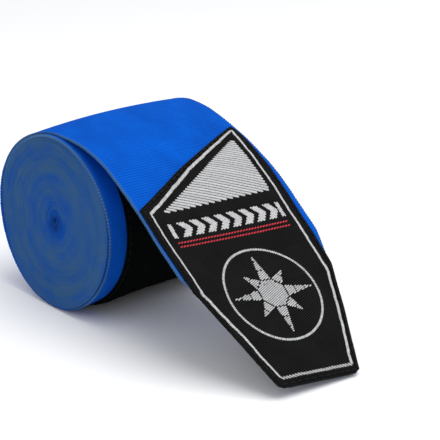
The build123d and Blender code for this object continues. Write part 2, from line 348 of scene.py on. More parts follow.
class Material:
    """A material, with short calls for building its node tree."""

    def __init__(self, name, color, roughness, specular):
        self.material = bpy.data.materials.new(name)
        self.material.use_nodes = True
        self.tree = self.material.node_tree
        self.shader = self.tree.nodes["Principled BSDF"]
        self.shader.inputs["Base Color"].default_value = (*color, 1)
        self.shader.inputs["Roughness"].default_value = roughness
        self.shader.inputs["Specular IOR Level"].default_value = specular

    def new(self, kind, **settings):
        node = self.tree.nodes.new(kind)
        for key, value in settings.items():
            setattr(node, key, value)
        return node

    def link(self, source, target):
        self.tree.links.new(source, target)

    def math(self, operation, a, b=None, clamp=False):
        node = self.new("ShaderNodeMath", operation=operation, use_clamp=clamp)
        for index, value in enumerate((a, b)):
            if value is None:
                continue
            if isinstance(value, (int, float)):
                node.inputs[index].default_value = value
            else:
                self.link(value, node.inputs[index])
        return node.outputs[0]

    def add(self, a, b, clamp=False):
        return self.math("ADD", a, b, clamp)

    def times(self, a, b, clamp=False):
        return self.math("MULTIPLY", a, b, clamp)

    def pattern(self):
        """Distance along and across the piece, in millimetres."""
        uv = self.new("ShaderNodeUVMap", uv_map="pattern")
        split = self.new("ShaderNodeSeparateXYZ")
        self.link(uv.outputs[0], split.inputs[0])
        return uv.outputs[0], split.outputs[0], split.outputs[1]

    def value(self, name):
        return self.new("ShaderNodeAttribute", attribute_name=name).outputs["Fac"]

    def noise(self, vector, scale, detail, roughness):
        node = self.new("ShaderNodeTexNoise")
        node.inputs["Scale"].default_value = scale
        node.inputs["Detail"].default_value = detail
        node.inputs["Roughness"].default_value = roughness
        self.link(vector, node.inputs["Vector"])
        return node.outputs["Fac"]

    def place(self):
        return self.new("ShaderNodeTexCoord").outputs["Object"]

    def stretch(self, vector, scale):
        node = self.new("ShaderNodeMapping")
        node.inputs["Scale"].default_value = scale
        self.link(vector, node.inputs["Vector"])
        return node.outputs[0]

    def mix(self, factor, a, b):
        node = self.new("ShaderNodeMix", data_type="RGBA")
        for name, value in (("Factor", factor), ("A", a), ("B", b)):
            socket = node.inputs[name]
            if isinstance(value, tuple):
                socket.default_value = (*value, 1)
            elif isinstance(value, (int, float)):
                socket.default_value = value
            else:
                self.link(value, socket)
        return node.outputs["Result"]

    def ramp(self, factor, low, high):
        node = self.new("ShaderNodeMapRange")
        node.inputs["From Min"].default_value = low
        node.inputs["From Max"].default_value = high
        self.link(factor, node.inputs["Value"])
        return node.outputs[0]

    def wave(self, along, pitch):
        """0 to 1 and back over each pitch."""
        swing = self.math("SINE", self.times(along, 2 * math.pi / pitch))
        return self.add(self.times(swing, 0.5), 0.5)

    def finish(self, color, height, distance):
        """Connect the colour, and a bump of a height up to a distance in metres."""
        self.link(color, self.shader.inputs["Base Color"])
        bump = self.new("ShaderNodeBump")
        bump.inputs["Distance"].default_value = distance
        self.link(height, bump.inputs["Height"])
        self.link(bump.outputs[0], self.shader.inputs["Normal"])
        return self.material


def band_material(name, face, dark_weave_and_shade, edge_dull, edge_bright, edge_pale, edge_hollow_shade):
    """Ribbed stretch weave, where tone 1 marks the fluffy selvedge.

    Shade follows the height of the ribs and paints their valleys darker, painted shade, and the roll's
    cloth below its top darker, painted shadow; on the selvedge it runs from painted shade of the hollow
    centre at -1 through bright at 0 and dull at 1 to pale at 2.
    """
    nodes = Material(name, face, roughness=0.92, specular=0.05)
    vector, _, across = nodes.pattern()
    shade = nodes.value("shade")
    knots = nodes.wave(across, 0.55)
    grain = nodes.noise(nodes.stretch(vector, (2.6, 1.3, 1)), 1.6, 4, 0.65)
    patch = nodes.noise(nodes.stretch(vector, (0.06, 0.09, 1)), 1.0, 3, 0.55)
    weave = nodes.add(nodes.times(shade, 0.5), nodes.times(knots, 0.12))
    light = nodes.add(weave, nodes.times(nodes.math("SUBTRACT", grain, 0.5), 0.6))
    light = nodes.add(light, nodes.times(nodes.ramp(patch, 0.3, 0.7), 0.4), clamp=True)
    # Painted shade: where shade is low, in rib valleys and below the roll's top, the cloth mixes towards
    # the darker colour; the weave's own knots, grain and patches also mix it.
    cloth = nodes.mix(light, dark_weave_and_shade, face)
    fibre = nodes.noise(nodes.place(), 1400.0, 4, 0.7)
    cloud = nodes.noise(nodes.place(), 200.0, 3, 0.6)
    dull = nodes.times(nodes.math("SUBTRACT", cloud, 0.5), 1.1)
    dull = nodes.add(dull, shade, clamp=True)
    selvedge = nodes.mix(dull, edge_bright, edge_dull)
    pale = nodes.math("SUBTRACT", shade, 1.0, clamp=True)
    selvedge = nodes.mix(pale, selvedge, edge_pale)
    # Painted shade of the hollow centre, where shade is below 0.
    hollow_shade = nodes.times(shade, -1.0, clamp=True)
    selvedge = nodes.mix(hollow_shade, selvedge, edge_hollow_shade)
    fluff = nodes.add(nodes.times(fibre, 0.8), 0.55)
    edge = nodes.times(nodes.value("tone"), fluff, clamp=True)
    color = nodes.mix(edge, cloth, selvedge)
    height = nodes.add(nodes.times(knots, 0.35), grain)
    return nodes.finish(color, nodes.add(height, nodes.times(edge, fibre)), 0.00012)


def twill_material(name, dark, light, pitch, slant):
    """Satin twill: fine diagonal lines of thread."""
    nodes = Material(name, dark, roughness=0.8, specular=0.03)
    vector, along, across = nodes.pattern()
    wander = nodes.noise(nodes.stretch(vector, (0.5, 0.5, 1)), 1.0, 2, 0.5)
    diagonal = nodes.add(along, nodes.times(across, slant))
    diagonal = nodes.add(diagonal, nodes.times(wander, 0.35))
    line = nodes.wave(diagonal, pitch)
    weft = nodes.wave(nodes.math("SUBTRACT", across, nodes.times(along, 0.35)), pitch * 0.8)
    thread = nodes.times(line, nodes.add(nodes.times(weft, 0.4), 0.6))
    grain = nodes.noise(vector, 3.0, 4, 0.65)
    patch = nodes.noise(nodes.stretch(vector, (0.12, 0.12, 1)), 1.0, 3, 0.6)
    shade = nodes.times(thread, nodes.add(nodes.add(grain, patch), -0.05), clamp=True)
    color = nodes.mix(shade, dark, light)
    return nodes.finish(color, nodes.add(thread, nodes.times(grain, 0.3)), 0.00012)


def thread_material(name, dark, light, roughness, specular):
    """Thread with the fine twist of its plies."""
    nodes = Material(name, light, roughness, specular)
    _, along, across = nodes.pattern()
    plies = nodes.wave(nodes.add(along, across), 0.35)
    grain = nodes.noise(nodes.place(), 2600.0, 3, 0.6)
    shade = nodes.add(nodes.times(plies, 0.3), nodes.times(grain, 0.9), clamp=True)
    toned = nodes.times(shade, nodes.add(nodes.value("tone"), 0.6), clamp=True)
    color = nodes.mix(toned, dark, light)
    return nodes.finish(color, nodes.add(plies, nodes.times(grain, 0.5)), 0.00004)


def pile_material(name, dark, light):
    """Brushed loop pile: soft, dark and speckled by fibre ends."""
    nodes = Material(name, dark, roughness=0.95, specular=0.03)
    place = nodes.place()
    tufts = nodes.noise(place, 1500.0, 5, 0.75)
    clumps = nodes.noise(place, 260.0, 3, 0.6)
    speckle = nodes.times(nodes.ramp(tufts, 0.45, 0.75), nodes.add(clumps, 0.2), clamp=True)
    return nodes.finish(nodes.mix(speckle, dark, light), nodes.add(tufts, clumps), 0.0003)


def plastic_material(name, color, worn):
    """Moulded nylon with a faint cloudy wear."""
    nodes = Material(name, color, roughness=0.42, specular=0.4)
    wear = nodes.noise(nodes.place(), 900.0, 4, 0.65)
    return nodes.finish(nodes.mix(nodes.ramp(wear, 0.5, 0.8), color, worn), wear, 0.00003)


BLUE = band_material(
    "royal_blue_ribbed_weave",
    face=(0.0015, 0.118, 0.64),
    # painted shade in rib valleys and below the roll's top, mixed with the weave's own grain
    dark_weave_and_shade=(0.0008, 0.052, 0.34),
    edge_dull=(0.036, 0.1, 0.21),
    edge_bright=(0.004, 0.065, 0.33),
    edge_pale=(0.12, 0.23, 0.42),
    # painted shade of the hollow centre
    edge_hollow_shade=(0.003, 0.022, 0.12),
)
TAPE_BLUE = band_material(
    "royal_blue_loop_tape",
    face=(0.002, 0.07, 0.4),
    dark_weave_and_shade=(0.001, 0.04, 0.28),
    edge_dull=(0.02, 0.08, 0.24),
    edge_bright=(0.003, 0.05, 0.26),
    edge_pale=(0.1, 0.2, 0.4),
    edge_hollow_shade=(0.003, 0.022, 0.12),
)
TWILL = twill_material("black_label_twill", (0.0006, 0.0006, 0.0006), (0.021, 0.021, 0.0215), 0.58, 0.46)
SILVER = thread_material("silver_satin_thread", (0.13, 0.13, 0.133), (0.7, 0.7, 0.705), 0.5, specular=0.2)
RED = thread_material("red_twisted_thread", (0.2, 0.005, 0.008), (0.72, 0.05, 0.075), 0.55, specular=0.2)
BLACK_THREAD = thread_material(
    "black_stitch_thread", (0.002, 0.002, 0.002), (0.012, 0.012, 0.0125), 0.65, specular=0.1
)
PILE = pile_material("black_loop_pile", (0.0008, 0.0011, 0.0011), (0.008, 0.0105, 0.0105))
HOOK_TAPE = twill_material("black_hook_tape", (0.0025, 0.0025, 0.0025), (0.014, 0.014, 0.0145), 0.6, 0.0)
HOOK_PLASTIC = plastic_material("black_nylon_hooks", (0.006, 0.006, 0.0065), (0.02, 0.02, 0.021))


# -------- camera, floor and light


def look(azimuth, elevation):
    """Unit vector from a target back to a viewer."""
    a, e = math.radians(azimuth), math.radians(elevation)
    return Vector((math.sin(a) * math.cos(e), -math.cos(a) * math.cos(e), math.sin(e)))


def make_camera():
    azimuth, elevation, distance = 46.9, 19.6, 0.45
    target = Vector((0.0393, 0.0018, 0.0292))
    camera = add_object("camera", bpy.data.cameras.new("camera"))
    camera.data.lens = 134.8
    camera.data.sensor_width = 36
    camera.data.clip_start = 0.01
    back = look(azimuth, elevation)
    camera.location = target + back * distance
    camera.rotation_euler = back.to_track_quat("Z", "Y").to_euler()
    bpy.context.scene.camera = camera


def make_light(name, azimuth, elevation, distance, size, power):
    light = bpy.data.lights.new(name, "AREA")
    light.size = size
    light.energy = power
    lamp = add_object(name, light)
    back = look(azimuth, elevation)
    lamp.location = Vector((0.03, 0, 0.02)) + back * distance
    lamp.rotation_euler = back.to_track_quat("Z", "Y").to_euler()


def make_stage():
    mesh = bpy.data.meshes.new("floor")
    half = 3.0
    corners = [(-half, -half, 0), (half, -half, 0), (half, half, 0), (-half, half, 0)]
    mesh.from_pydata(corners, [], [(0, 1, 2, 3)])
    pale = Material("pale_floor", (0.96, 0.96, 0.96), roughness=0.95, specular=0.0)
    mesh.materials.append(pale.material)
    floor = add_object("floor", mesh)
    floor.location.z = -0.00005  # just clear of the faces that rest on it
    world = bpy.data.worlds.new("studio")
    world.use_nodes = True
    background = world.node_tree.nodes["Background"]
    background.inputs["Color"].default_value = (0.97, 0.98, 1.0, 1)
    background.inputs["Strength"].default_value = 0.65
    bpy.context.scene.world = world
    bpy.context.scene.view_settings.view_transform = "Standard"
    make_light("key", azimuth=110, elevation=68, distance=0.9, size=0.8, power=6)
    make_light("fill", azimuth=20, elevation=35, distance=1.2, size=0.8, power=1.5)


make_camera()
make_stage()


# -------- outlines


def sides_of(outline):
    return zip(outline, outline[1:] + outline[:1])


def winding_sign(outline):
    return 1 if sum(a[0] * b[1] - b[0] * a[1] for a, b in sides_of(outline)) > 0 else -1


def nearest_side(outline, s, v):
    """Distance inside a convex outline's nearest side, and the distance along that side."""
    s, v = np.broadcast_arrays(np.asarray(s, float), np.asarray(v, float))
    nearest, along = np.full(s.shape, 1e9), np.zeros(s.shape)
    sign = winding_sign(outline)
    for (s0, v0), (s1, v1) in sides_of(outline):
        length = math.hypot(s1 - s0, v1 - v0)
        inside = sign * ((s1 - s0) * (v - v0) - (v1 - v0) * (s - s0)) / length
        reach = ((s1 - s0) * (s - s0) + (v1 - v0) * (v - v0)) / length
        along = np.where(inside < nearest, reach, along)
        nearest = np.minimum(nearest, inside)
    return nearest, along


def outline_span(outline, s):
    """Lowest and highest v of a convex outline at each s."""
    low, high = np.full(len(s), 1e9), np.full(len(s), -1e9)
    for (s0, v0), (s1, v1) in sides_of(outline):
        if s0 == s1:
            continue
        t = (s - s0) / (s1 - s0)
        v = v0 + (v1 - v0) * t
        inside = (t >= -1e-9) & (t <= 1 + 1e-9)
        low = np.where(inside, np.minimum(low, v), low)
        high = np.where(inside, np.maximum(high, v), high)
    return low, high


def walk(points, closed=True):
    """Sides of an outline as start, unit direction and length."""
    points = [np.asarray(p, float) for p in points]
    pairs = zip(points, points[1:] + points[:1]) if closed else zip(points, points[1:])
    for a, b in pairs:
        yield a, *unit(b - a)


def inset_outline(outline, amount):
    """The outline moved inwards by an amount, corners kept sharp."""
    points = [np.asarray(p, float) for p in outline]
    sign = winding_sign(outline)
    result = []
    for before, here, after in zip(points[-1:] + points[:-1], points, points[1:] + points[:1]):
        n0, n1 = (sign * left_of(unit(step)[0]) for step in (here - before, after - here))
        result.append(tuple(here + amount * (n0 + n1) / (1 + float(n0 @ n1))))
    return result


def clip_polygon(polygon, limit, side):
    """Keep the part of a polygon with s above (side 1) or below (side -1) a limit."""
    kept = []
    for a, b in sides_of(list(polygon)):
        inside_a, inside_b = (a[0] - limit) * side >= 0, (b[0] - limit) * side >= 0
        if inside_a:
            kept.append(a)
        if inside_a != inside_b:
            t = (limit - a[0]) / (b[0] - a[0])
            kept.append((limit, a[1] + (b[1] - a[1]) * t))
    return kept


# -------- the strip

# The selvedge's round section, from the edge inwards: inset, share of half the thickness, and tone.
EDGE_INSETS = np.array([0.0, 0.01, 0.04, 0.1, 0.3, 1.0])
EDGE_HEIGHTS = np.array([0.0, 0.72, 1.0, 1.11, 1.13, 1.0])
EDGE_TONES = np.array([1.0, 1.0, 1.0, 1.0, 0.5, 0.0])
EDGE_SPAN = 1.6  # from the edge to the first of the evenly spaced columns
NARROWEST = 3.3  # the least width of a section, a little over two edge spans
FINE_TURNS = 1.12  # the outermost part of the roll, where the ribs are modelled


def strip_section(near, far, count):
    """Closed ring of across, height and tone for each row, from the edge positions near and far."""
    inner = np.linspace(-1, 1, count)
    near, far = np.asarray(near, float)[:, None], np.asarray(far, float)[:, None]
    middle, half = (near + far) / 2, (far - near) / 2 - EDGE_SPAN
    rows = np.ones_like(near)
    across = np.concatenate([near + EDGE_INSETS, middle + inner * half, far - EDGE_INSETS[::-1]], 1)
    height = np.concatenate([EDGE_HEIGHTS, np.ones(count), EDGE_HEIGHTS[::-1]])[None, :] * rows
    tone = np.concatenate([EDGE_TONES, np.zeros(count), EDGE_TONES[::-1]])[None, :] * rows
    upper_and_lower = ((across, 1), (height, -1), (tone, 1))
    return [np.concatenate([top, sign * top[:, -2:0:-1]], 1) for top, sign in upper_and_lower]


def rib_wave(u, across):
    """Cross ribs of the weave, 1 on a rib and 0 between two, wandering a little."""
    phase = u / RIB_PITCH + 0.22 * np.sin(across * 0.21 + u * 0.05) + 0.1 * np.sin(across * 0.6 + 1)
    return 0.5 + 0.5 * np.cos(2 * math.pi * phase)


def rib_height(u, across):
    return RIB_HEIGHT * (rib_wave(u, across) - 0.6)


def roll_edges(winding):
    """Where the strip's near and far edges lie: turns slip in and out by fractions of a millimetre."""
    turn = winding / (2 * math.pi)
    radius = ROLL_RADIUS - TURN_PITCH * turn
    dish = 0.5 * (1 - smooth(radius, 2.0, 13.0))
    inner = smooth(turn, 0.95, 1.6)
    fold = 0.1 * np.exp(-(((radius - 9.0) / 2.5) ** 2)) * np.cos(winding + 0.5)
    groups = 0.03 * np.sin(turn * 1.1 + 1.0) + 0.03 * np.sin(turn * 2.3 + winding)
    jitter = 0.05 * ripple(winding, 11)
    near = -HALF_WIDTH + dish + (fold + groups + jitter) * inner
    far = HALF_WIDTH - dish + (0.12 * np.sin(turn * 1.4) + 0.08 * ripple(winding, 12)) * inner
    return near, far


def face_shade(winding):
    """Cloudy swirls of duller and brighter blue on the rolled-up edges; the outermost turn is dotted, and
    the innermost turns are painted dark, the painted shade of the hollow centre.
    """
    turn = winding / (2 * math.pi)
    cloud = sum(
        np.sin(k * winding + a * turn + p) / (1 + 0.4 * k)
        for k, a, p in ((1, 0.5, 0.4), (2, -0.9, 2.0), (3, 0.7, 4.0), (5, -0.5, 1.0), (7, 0.9, 5.0))
    )
    rings = 0.35 * np.sin(turn * 2.3) + 0.3 * np.sin(turn * 5.1 + 1)
    rings = rings * (1 + 0.6 * np.sin(2 * winding + 0.7))
    core = 0.75 * smooth(turn, TURNS - 5, TURNS)
    core = core + 0.3 * smooth(turn, 14, 27) * (0.5 + 0.5 * ripple(winding * 2.6, 13))
    dots = 0.7 * rib_wave(-arc_at(winding), 0) * (1 - smooth(turn, 1.0, 1.3)) * smooth(turn, 0.35, 0.5)
    side = smooth(winding, 0.7, 1.3) * (1 - smooth(winding, 3.3, 4.0))
    rim = 0.8 * (1 - smooth(turn, 1.0, 1.1)) * side
    # Painted shade: the innermost turns go towards dark navy, the shade in the hollow centre.
    hollow_shade = smooth(turn, TURNS - 9, TURNS - 1) * (0.6 + 0.35 * ripple(winding * 1.3, 14))
    return np.clip(0.74 + 0.15 * cloud + 0.13 * rings - core - rim, 0, 1) + dots - hollow_shade


def edge_loops(u):
    """The weft turns round in small loops that stand out from the selvedge."""
    return 0.13 * (0.5 + 0.5 * np.cos(2 * math.pi * u / RIB_PITCH)) + 0.05 * ripple(u, 31, 3.0)


def make_roll_band():
    """The wound strip from just past the top of the roll to its inner end."""
    builder = Builder()
    lead = np.arange(PIECE_ENDS[0], 0, -RIB_PITCH / RIB_ROWS)
    fine = np.arange(0, 2 * math.pi * FINE_TURNS, RIB_PITCH / RIB_ROWS / ROLL_RADIUS)
    coarse = np.arange(2 * math.pi * FINE_TURNS, 2 * math.pi * TURNS, math.radians(3))
    winding = np.concatenate([fine, coarse])
    u = np.concatenate([lead, -arc_at(winding)])
    winding = np.concatenate([np.zeros(len(lead)), winding])
    near, far = roll_edges(winding)
    near = near - edge_loops(u) * (1 - smooth(winding, 6, 7))
    across, height, tone = strip_section(near, far, 15)
    fade = (1 - smooth(winding, 6.3, 6.9))[:, None]
    calm_and_shadow = 1 - 0.7 * smooth(winding, 0.3, 0.8)[:, None]  # the ribs are shallower below the top, and there the cloth is painted darker, a painted shadow under the tail
    ribs = rib_height(u[:, None], across) * fade * calm_and_shadow
    full = 1 + 0.12 * smooth(winding, 5.0, 8.0)[:, None] * (tone > 0.3)  # inner selvedges touch
    grid = strip_point(u[:, None], across, height * full * HALF_BAND + np.sign(height) * ribs)
    # Painted shade: the cloth is painted darker below the top of the roll, a painted shadow under the
    # tail, and darker in the valleys between ribs.
    cloth = 0.5 * calm_and_shadow**0.5 + (rib_wave(u[:, None], across) - 0.5) * fade * calm_and_shadow
    shade = np.where(tone > 0.2, face_shade(winding)[:, None], cloth)
    builder.tube(grid, pattern_grid(u, across), tone, shade)
    piece = builder.build("wound_strip", BLUE)
    lay_on_roll(piece, "band_roll")


def half_width(s):
    """Half the strip's width along the tail, with the tapered tip."""
    share = np.clip((s - TAPER_START) / (TAIL_END - TAPER_START), 0, 1)
    return HALF_WIDTH + (TIP_HALF_WIDTH - HALF_WIDTH) * share


def make_tail_band(index):
    """One piece of the tail's strip, the one that spans bend number index."""
    builder = Builder()
    begin, end = PIECE_ENDS[index], PIECE_ENDS[index + 1]
    rows = int(round((end - begin) / (RIB_PITCH / RIB_ROWS)))
    s = np.linspace(begin, min(end, TAIL_END - CUT_BACK), rows + 1)
    wide = half_width(s)
    cut = smooth(s, TAPER_START - 5, TAPER_START + 1.5)
    tuck = smooth(s, 22, 38)
    loops = edge_loops(s) * (1 - cut)
    cover_near, cover_far = outline_span(LABEL_OUTLINE, np.maximum(s, LABEL_OUTLINE[0][0]))
    near = -(wide + loops) * (1 - cut) + (cover_near + CUT_INSET) * cut
    slide = 3.3 * np.clip((s - TAPER_START + 11) / 12.5, 0, 1)
    far = wide * (1 - tuck) + (cover_far + FAR_SHOW - slide) * tuck + loops
    across, height, tone = strip_section(near, far, 29)
    fade = (1 - 0.85 * smooth(s, TAIL_END - 1, TAIL_END))[:, None]
    ribs = rib_height(s[:, None], across) * fade
    grid = strip_point(s[:, None], across, height * HALF_BAND + np.sign(height) * ribs)
    # Painted shade: on the cloth, the valleys between ribs are painted darker.
    shade = np.where(tone > 0.2, 0.9 + 0.5 * rib_wave(s[:, None], 0), rib_wave(s[:, None], across))
    builder.tube(grid, pattern_grid(s, across), tone, shade)
    piece = builder.build(f"tail_strip_{index + 1}", BLUE)
    bend_piece(piece, index)
    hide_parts("band_" + BODIES[index + 1].removeprefix("tail_"))


make_roll_band()
for bend in range(len(BENDS)):
    make_tail_band(bend)


# -------- sewn panels and threads


def label_relief(s, v):
    """Height of the label's surface above flat: a soft hem, the pull of each stitch, a slight pucker."""
    inside, reach = nearest_side(LABEL_OUTLINE, s, v)
    pull = 0.6 + 0.4 * np.cos(2 * math.pi * reach / STITCH_PITCH)
    dip = 0.3 * np.exp(-(((inside - STITCH_INSET) / 0.4) ** 2)) * pull
    hem = 0.14 * np.exp(-(((inside - 0.3) / 0.3) ** 2)) + 0.3 * np.exp(-(((inside - 1.9) / 0.6) ** 2))
    pucker = 0.1 * ripple2(s / 1.9, v / 1.9, 41) * (1 - smooth(inside, 2, 5))
    pucker = pucker + 0.2 * ripple2(s / 7, v / 7, 43)
    return hem - dip + pucker


def sewn_panel(name, outline, begin, end, low, high, step, material, relief=None, hem_down=0.0):
    """A panel sewn to the tail, from level low to high, between two distances along the tail.

    At its end its edge is turned down by hem_down over the strip's own edge.
    """
    s = np.linspace(begin, end, int(round((end - begin) / step)) + 1)
    finish = max(p[0] for p in outline)
    if end > finish - 0.1:
        close_rows = np.array([0.6, 0.45, 0.3, 0.18, 0.08, 0.02])
        s = np.concatenate([s[s < end - 0.7], end - close_rows])
    near, far = outline_span(outline, s)
    corner = 1.3 * smooth(s, finish - 1.6, finish) ** 2
    wavy = 0.12 * ripple(s, 51, 1.1) + 0.05 * np.cos(2 * math.pi * s / STITCH_PITCH)
    near, far = near + corner - wavy, far - corner + wavy
    across, height, _ = strip_section(near, np.maximum(far, near + NARROWEST), 61)
    across = np.clip(across, near[:, None], np.maximum(far, near)[:, None])
    middle, half = (low + high) / 2, (high - low) / 2
    inside = nearest_side(outline, s[:, None], across)[0]
    rounding = np.sqrt(1 - (1 - np.clip(inside / 0.4, 0, 1)) ** 2)
    profile = np.clip(height, -1, 1) * rounding
    turned = hem_down * smooth(s, finish - 1.2, finish - 0.6)[:, None] * (1 - smooth(inside, 0.3, 0.6))
    centre, reach = (near + far)[:, None] / 2, np.maximum(far - near, 1)[:, None] / 2
    turned = turned * (1 - smooth(np.abs(across - centre) / reach, 0.8, 0.95))
    h = middle + profile * half - turned * (1 - profile) / 2
    if relief:
        h = h + relief(s[:, None], across) * np.clip(profile, 0, 1)
    grid = strip_point(s[:, None], across, h)
    builder = Builder()
    builder.tube(grid, pattern_grid(s, across))
    return builder.build(name, material)


def sew_on(name, outline, lead, slot_name, replaced, **settings):
    """Sew a panel to the tail, as one piece for each bend in replaced, which names their CAD nodes."""
    places = [s for s, _ in outline]
    indices = sorted(replaced)
    joins = [PIECE_ENDS[index] for index in indices[1:]]
    for index, begin, end in zip(indices, [min(places) + lead] + joins, joins + [max(places)]):
        piece = sewn_panel(f"{name}_{index}", outline, begin, end, **settings)
        bend_piece(piece, index)
        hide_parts(*replaced[index])


class Threads:
    """Threads of one colour on the tail, sorted by the tail piece that they lie on."""

    def __init__(self, name, material, slot_name, relief=None):
        self.name, self.material, self.slot_name, self.relief = name, material, slot_name, relief
        self.builders = {}

    def at(self, s):
        """The builder of the piece that has a place along the tail."""
        index = int(np.clip(np.searchsorted(PIECE_ENDS, s) - 1, 0, 3))
        return self.builders.setdefault(index, Builder())

    def add(self, start, end, width, rise, level, tone, sides=8):
        """Lay a raised thread with rounded ends between two points, at a level on the tail."""
        start, end = np.asarray(start, float), np.asarray(end, float)
        direction, length = unit(end - start)
        if length < 0.05:
            return
        normal = left_of(direction)
        cap = min(width * 0.55, length * 0.45)
        spans = max(1, int(length / 2.0))
        body = np.linspace(cap, length - cap, spans + 1)[1:-1]
        t = np.concatenate([[0, 0.25 * cap, cap], body, [length - cap, length - 0.25 * cap, length]])
        size = np.concatenate([[0.12, 0.68, 1.0], np.ones(spans - 1), [1.0, 0.68, 0.12]])
        cosine, sine = ring(sides)
        across = cosine * size[:, None] * width / 2
        h = level + sine * size[:, None] * rise
        place = start + t[:, None] * direction
        s = place[:, 0, None] + across * normal[0]
        v = place[:, 1, None] + across * normal[1]
        if self.relief:
            h = h + self.relief(s, v)
        grid = strip_point(s, v, h)
        self.at((start[0] + end[0]) / 2).tube(grid, pattern_grid(t, across), np.full(s.shape, tone))

    def finish(self, replaced):
        """Build one piece for each bend; replaced names the CAD nodes that each one stands for."""
        for index, builder in sorted(self.builders.items()):
            piece = builder.build(f"{self.name}_{index + 1}", self.material)
            bend_piece(piece, index)
            if index in replaced:
                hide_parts(*replaced[index])


def satin_line(threads, points, level, width, pitch, slant, thick=1.25, waver=0.1, closed=True):
    """A raised line made of short slanted threads, each thick times as wide as their pitch."""
    rise = 0.11
    for start, direction, length in walk(points, closed):
        normal = left_of(direction)
        count = max(1, int(length / pitch))
        for step in (np.arange(count) + 0.5) * length / count:
            sway = waver * float(ripple((start[0] + start[1]) * 3 + step, 61, 1.4))
            centre = start + direction * (step + random.normal(0, 0.02)) + normal * sway
            reach = (normal + slant * direction) * width / 2
            tone = 0.3 + 0.4 * random.random()
            threads.add(centre - reach, centre + reach, pitch * thick, rise, level, tone, sides=6)


def satin_fill(threads, polygon, level, angle, pitch, width, rise, brightness, shortest=0.55):
    """Fill a polygon with parallel raised threads at an angle from the across direction."""
    points = np.array(polygon, float)
    direction = np.array([math.sin(angle), math.cos(angle)])
    normal = left_of(direction)
    low, high = (points @ normal).min(), (points @ normal).max()
    for line in np.arange(low + pitch / 2, high, pitch):
        crossings = []
        for a, b in zip(points, np.roll(points, -1, axis=0)):
            da, db = a @ normal - line, b @ normal - line
            if da * db < 0:
                crossings.append(float((a + (b - a) * da / (da - db)) @ direction))
        crossings.sort()
        for first, last in zip(crossings[::2], crossings[1::2]):
            if last - first < shortest:
                continue
            jitter = random.normal(0, 0.05, 2)
            start = normal * line + direction * (first + jitter[0])
            end = normal * line + direction * (last + jitter[1])
            tone = brightness + 0.22 * (random.random() - 0.5)
            threads.add(start, end, width, rise, level, tone)


def split_fill(threads, polygon, level, **settings):
    """Satin fill of a polygon that may run over several tail pieces: each gets its own threads."""
    for low, high in zip(PIECE_ENDS[:-1], PIECE_ENDS[1:]):
        part = clip_polygon(clip_polygon(polygon, low, 1), high, -1)
        if len(part) > 2:
            satin_fill(threads, part, level, **settings)


def stitch_round(name, outline, rise, level, replaced):
    """A row of separate lockstitches inside an outline."""
    threads = Threads(name, BLACK_THREAD, "stitch_thread")
    for start, direction, length in walk(inset_outline(outline, STITCH_INSET)):
        count = max(1, int(round(length / STITCH_PITCH)))
        size = length / count
        for step in (np.arange(count) + 0.5) * size:
            centre = start + direction * step + random.normal(0, 0.03, 2)
            reach = direction * size * STITCH_SHARE / 2
            tone = 0.3 + 0.5 * random.random()
            threads.add(centre - reach, centre + reach, STITCH_WIDTH, rise, level, tone)
    threads.finish(replaced)


# -------- label


FLOAT_ANGLE = math.radians(25)
TWILL_ANGLE = math.radians(-25)
CORNER_THREADS = {
    "angle": FLOAT_ANGLE, "pitch": 0.92, "width": 0.8, "rise": 0.17, "brightness": 0.5, "shortest": 1.3,
}
CHEVRON_THREADS = {"angle": TWILL_ANGLE, "pitch": 0.44, "width": 0.46, "rise": 0.12, "brightness": 0.55}
EMBLEM_THREADS = {"angle": TWILL_ANGLE, "pitch": 0.5, "width": 0.42, "rise": 0.13}


def make_label():
    sew_on(
        "label",
        LABEL_OUTLINE,
        lead=0.05,
        slot_name="label_weave",
        replaced={1: ["label_upper", "label_middle"], 2: ["label_lower"], 3: ["label_tip"]},
        low=SEWN_LEVEL,
        high=LABEL_HIGH,
        step=0.3,
        material=TWILL,
        relief=label_relief,
        hem_down=SEWN_LEVEL + HALF_BAND,
    )


def make_border(silver, level):
    """The woven outline, finer along its sides than along its slanted top and its tip."""
    top = {"width": 0.95, "pitch": 0.45, "slant": 0.5, "thick": 1.15}
    side = {"width": 0.62, "pitch": 0.4, "slant": 0.9, "thick": 1.15}
    tip = {"width": 0.9, "pitch": 0.9, "slant": -0.9, "thick": 0.62}
    styles = [top, top, side, side, side, tip, side, side]
    for ends, style in zip(sides_of(BORDER_OUTLINE), styles):
        satin_line(silver, list(ends), level, closed=False, **style)


def make_chevrons(silver, level):
    """A row of slanted chevrons between two short bars."""
    low, middle, high = 50.7, 53.1, 55.5
    count, first, pitch = 8, -17.0, 4.15
    tip, wide, bar_wide = 1.9, 2.5, 1.3
    for column in range(count):
        v = first + column * pitch
        chevron = [(low, v), (middle, v + tip), (high, v)]
        chevron += [(high, v + wide), (middle, v + tip + wide), (low, v + wide)]
        split_fill(silver, chevron, level, **CHEVRON_THREADS)
    for v in (-19.9, 16.6):
        bar = [(low, v), (high, v), (high, v + bar_wide), (low, v + bar_wide)]
        split_fill(silver, bar, level, **CHEVRON_THREADS)


